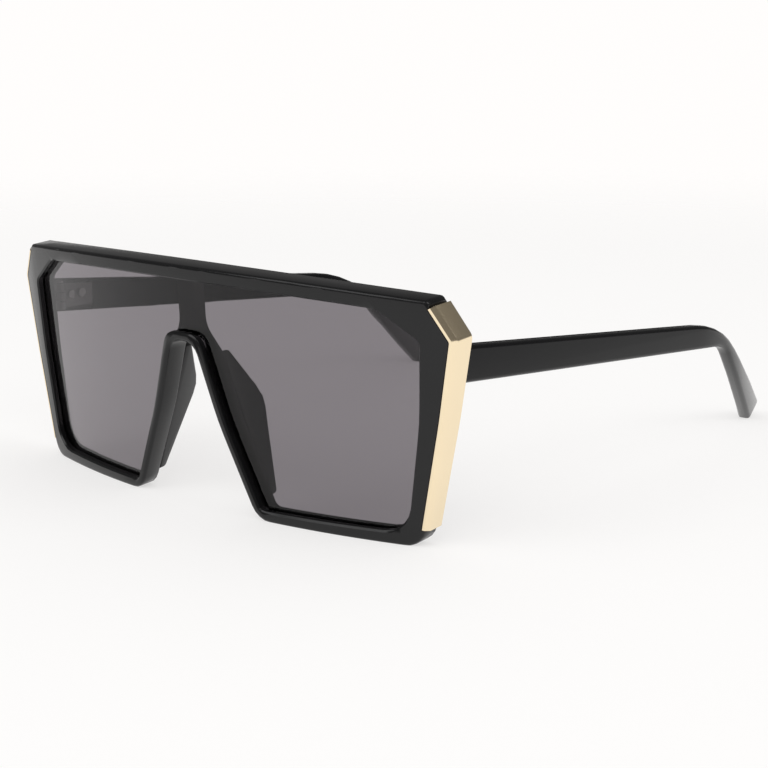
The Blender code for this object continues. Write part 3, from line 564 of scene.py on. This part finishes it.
class SUNGLASSES_OT_hinges(bpy.types.Operator):
    """Build the hinges and their screws"""
    bl_idname = "sunglasses.hinges"
    bl_label = "Hinges"

    def execute(self, context):
        for side in SIDES:
            temple = f"temple_{side}"
            pieces = {}
            for part, body in (("front_hinge", "front"), ("hinge_screw", "front"),
                               ("temple_hinge", temple), ("leaf_screw_front", temple),
                               ("leaf_screw_rear", temple)):
                steel = screw_material() if "screw" in part else hinge_material()
                node = f"{part}_{side}"
                pieces[part] = dress(node, f"{node}_finished", steel, body)
            self.trim_plate(pieces["temple_hinge"], side)
            self.slot_hinge_screw(pieces["hinge_screw"], side)
            for part, degrees in PLATE_SLOT_TURNS.items():
                self.slot_plate_screw(pieces[part], part, side, math.radians(degrees))
            for piece in pieces.values():
                smooth(piece, context.scene.sunglasses_sizes.smooth_angle)
        return {"FINISHED"}

    def trim_plate(self, plate, side):
        """Takes off the plate's upper rear corner, which stands above the falling temple."""
        sizes = bpy.context.scene.sunglasses_sizes
        low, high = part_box(f"temple_hinge_{side}")
        point = (0.0, high[1], high[2] - sizes.plate_trim)
        trim_above(plate.data, point,
                   (0.0, math.sin(sizes.temple_drop), math.cos(sizes.temple_drop)))

    def slot_hinge_screw(self, screw, side):
        """Cuts the slot into the top of the screw that the temple turns on."""
        low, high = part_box(f"hinge_screw_{side}")
        head = Vector(((low[0] + high[0]) / 2, (low[1] + high[1]) / 2, high[2]))
        cut_slot(screw, head, (0.0, 0.0, 1.0), HINGE_SLOT_ALONG, high[0] - low[0])

    def slot_plate_screw(self, screw, part, side, angle):
        """Cuts the slot into the inner end of a screw that holds a plate."""
        low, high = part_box(f"{part}_{side}")
        inner = low[0] if side == "left" else high[0]
        head = Vector((inner, (low[1] + high[1]) / 2, (low[2] + high[2]) / 2))
        cut_slot(screw, head, (-OUTWARD[side], 0.0, 0.0),
                 (0.0, math.cos(angle), math.sin(angle)), high[1] - low[1])


class SUNGLASSES_OT_studio(bpy.types.Operator):
    """Set the backdrop, the floor, the soft lights and the camera"""
    bl_idname = "sunglasses.studio"
    bl_label = "Studio"

    def execute(self, context):
        context.scene.view_settings.view_transform = "Standard"
        self.set_backdrop()
        self.set_floor()
        for name, (place, width, height, power) in SOFTBOXES.items():
            self.set_softbox(name, place, width, height, power)
        self.set_camera()
        return {"FINISHED"}

    def set_backdrop(self):
        """White where it is seen, a dark ceiling in reflections, and plain light elsewhere."""
        studio = bpy.context.scene.sunglasses_studio
        backdrop = bpy.context.scene.sunglasses_colours.backdrop
        world = bpy.data.worlds.new("Studio")
        bpy.context.scene.world = world
        world.use_nodes = True
        tree = world.node_tree
        surround = tree.nodes["Background"]
        surround.inputs["Color"].default_value = (*WHITE, 1.0)
        surround.inputs["Strength"].default_value = studio.surround
        height = one_axis(tree, place_on(tree, "Generated"), "Z")
        darker = rise(tree, height, studio.ceiling_start, studio.ceiling_end,
                      1.0 - studio.ceiling)
        path = tree.nodes.new("ShaderNodeLightPath")
        dimmed = calculate(tree, "MULTIPLY", darker, path.outputs["Is Glossy Ray"])
        shown = add_node(tree, "ShaderNodeBackground",
                         links={"Strength": calculate(tree, "SUBTRACT", 1.0, dimmed)},
                         values={"Color": (*backdrop, 1.0)})
        both = mix_shaders(tree, seen_rays(tree), surround.outputs["Background"],
                           shown.outputs["Background"])
        tree.links.new(both, tree.nodes["World Output"].inputs["Surface"])

    def set_floor(self):
        reach = bpy.context.scene.sunglasses_studio.floor_reach
        mesh = bpy.data.meshes.new("floor")
        mesh.from_pydata([(-reach, -reach, 0), (reach, -reach, 0), (reach, reach, 0),
                          (-reach, reach, 0)], [], [(0, 1, 2, 3)])
        item = bpy.data.objects.new("floor", mesh)
        bpy.context.scene.collection.objects.link(item)
        mesh.materials.append(material_once("Paper floor", self.finish_floor))

    def finish_floor(self, tree, shader):
        """Paper that keeps the shadow, is lightened where it is seen, and fades far away."""
        studio = bpy.context.scene.sunglasses_studio
        colours = bpy.context.scene.sunglasses_colours
        finishes = bpy.context.scene.sunglasses_finishes
        shader.inputs["Base Color"].default_value = (*colours.floor, 1.0)
        shader.inputs["Roughness"].default_value = finishes.paper_roughness
        shader.inputs["Specular IOR Level"].default_value = finishes.paper_gloss
        away = add_node(tree, "ShaderNodeVectorMath")
        away.operation = "LENGTH"
        tree.links.new(place_on(tree, "Object"), away.inputs[0])
        faded = rise(tree, away.outputs["Value"], studio.floor_clear,
                     studio.floor_clear + studio.floor_fade)
        glow = add_node(tree, "ShaderNodeEmission", values={"Color": (*colours.backdrop, 1.0)})
        lightened = calculate(tree, "MULTIPLY", seen_rays(tree), studio.floor_glow)
        paper = mix_shaders(tree, lightened, shader.outputs["BSDF"], glow.outputs["Emission"])
        clear = tree.nodes.new("ShaderNodeBsdfTransparent")
        both = mix_shaders(tree, faded, paper, clear.outputs["BSDF"])
        tree.links.new(both, tree.nodes["Material Output"].inputs["Surface"])

    def set_softbox(self, name, place, width, height, power):
        light = bpy.data.lights.new(name, "AREA")
        light.shape = "RECTANGLE"
        light.size = width
        light.size_y = height
        light.energy = power
        holder = bpy.data.objects.new(name, light)
        bpy.context.scene.collection.objects.link(holder)
        holder.location = place
        holder.rotation_euler = (-Vector(place)).to_track_quat("-Z", "Y").to_euler()

    def set_camera(self):
        studio = bpy.context.scene.sunglasses_studio
        data = bpy.data.cameras.new("camera")
        data.sensor_width = SENSOR_WIDTH
        data.lens = studio.camera_lens
        data.clip_start = NEAR_CLIP
        camera = bpy.data.objects.new("camera", data)
        bpy.context.scene.collection.objects.link(camera)
        camera.location = studio.camera_place
        level = math.radians(90.0)
        camera.rotation_euler = (level - studio.camera_pitch, 0.0, studio.camera_yaw)
        bpy.context.scene.camera = camera


class SUNGLASSES_PT_panel(bpy.types.Panel):
    """Sizes, colours, finishes and the steps in order"""
    bl_label = "Shield sunglasses"
    bl_space_type = "VIEW_3D"
    bl_region_type = "UI"
    bl_category = "Sunglasses"

    def draw(self, context):
        for group_name in GROUPS:
            values = getattr(context.scene, group_name)
            box = self.layout.box()
            for value in values.bl_rna.properties:
                if value.identifier not in ("rna_type", "name"):
                    box.prop(values, value.identifier)
        for step in STEPS:
            self.layout.operator(step.bl_idname)


GROUPS = {
    "sunglasses_sizes": SunglassesSizes,
    "sunglasses_colours": SunglassesColours,
    "sunglasses_finishes": SunglassesFinishes,
    "sunglasses_studio": SunglassesStudio,
}
STEPS = (SUNGLASSES_OT_rim, SUNGLASSES_OT_lens, SUNGLASSES_OT_trims, SUNGLASSES_OT_pads,
         SUNGLASSES_OT_temples, SUNGLASSES_OT_hinges, SUNGLASSES_OT_studio)


def register():
    for kind in (*GROUPS.values(), *STEPS, SUNGLASSES_PT_panel):
        bpy.utils.register_class(kind)
    for name, kind in GROUPS.items():
        setattr(bpy.types.Scene, name, PointerProperty(type=kind))


def unregister():
    for name in GROUPS:
        delattr(bpy.types.Scene, name)
    for kind in reversed((*GROUPS.values(), *STEPS, SUNGLASSES_PT_panel)):
        bpy.utils.unregister_class(kind)


def main():
    register()
    bpy.ops.sunglasses.rim()
    bpy.ops.sunglasses.lens()
    bpy.ops.sunglasses.trims()
    bpy.ops.sunglasses.pads()
    bpy.ops.sunglasses.temples()
    bpy.ops.sunglasses.hinges()
    bpy.ops.sunglasses.studio()


if __name__ == "__main__":
    main()
